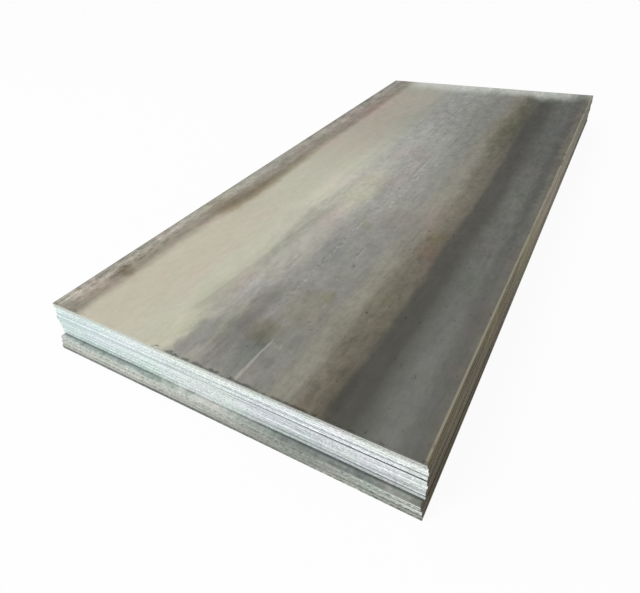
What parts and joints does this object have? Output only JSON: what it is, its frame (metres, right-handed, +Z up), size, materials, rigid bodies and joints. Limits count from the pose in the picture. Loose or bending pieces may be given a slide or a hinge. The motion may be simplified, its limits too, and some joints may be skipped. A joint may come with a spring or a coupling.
{
  "type": "steel plate stack",
  "caption": "Flat stack of hot-rolled steel plates with sheared ends and crowned mill edges, the lower plates set forward of the upper ones.",
  "frame": {"origin": "middle of the footprint of the whole stack, on the floor that it lies on", "axes": "+Y along the plates' length, away from the near ends where the lower plates are set forward; +X across their width; +Z up"},
  "size_m": [1.2796, 2.78, 0.1826],
  "materials": {
    "rolled_plate": "hot-rolled mill scale in long bands of beige, grey and charcoal, bright silvery sheared ends, brown oxidised mill edges",
    "weathered_plate": "dull grey mottled mill scale, ends sheared and since dulled, brown oxidised mill edges"
  },
  "bodies": {
    "root": {"lower_plate_1": "weathered_plate", "lower_plate_2": "weathered_plate", "lower_plate_3": "weathered_plate", "upper_plate_1": "rolled_plate", "upper_plate_2": "rolled_plate", "upper_plate_3": "rolled_plate", "upper_plate_4": "rolled_plate", "upper_plate_5": "rolled_plate", "upper_plate_6": "rolled_plate", "upper_plate_7": "rolled_plate", "upper_plate_8": "rolled_plate", "upper_plate_9": "rolled_plate"}
  },
  "joints": []
}
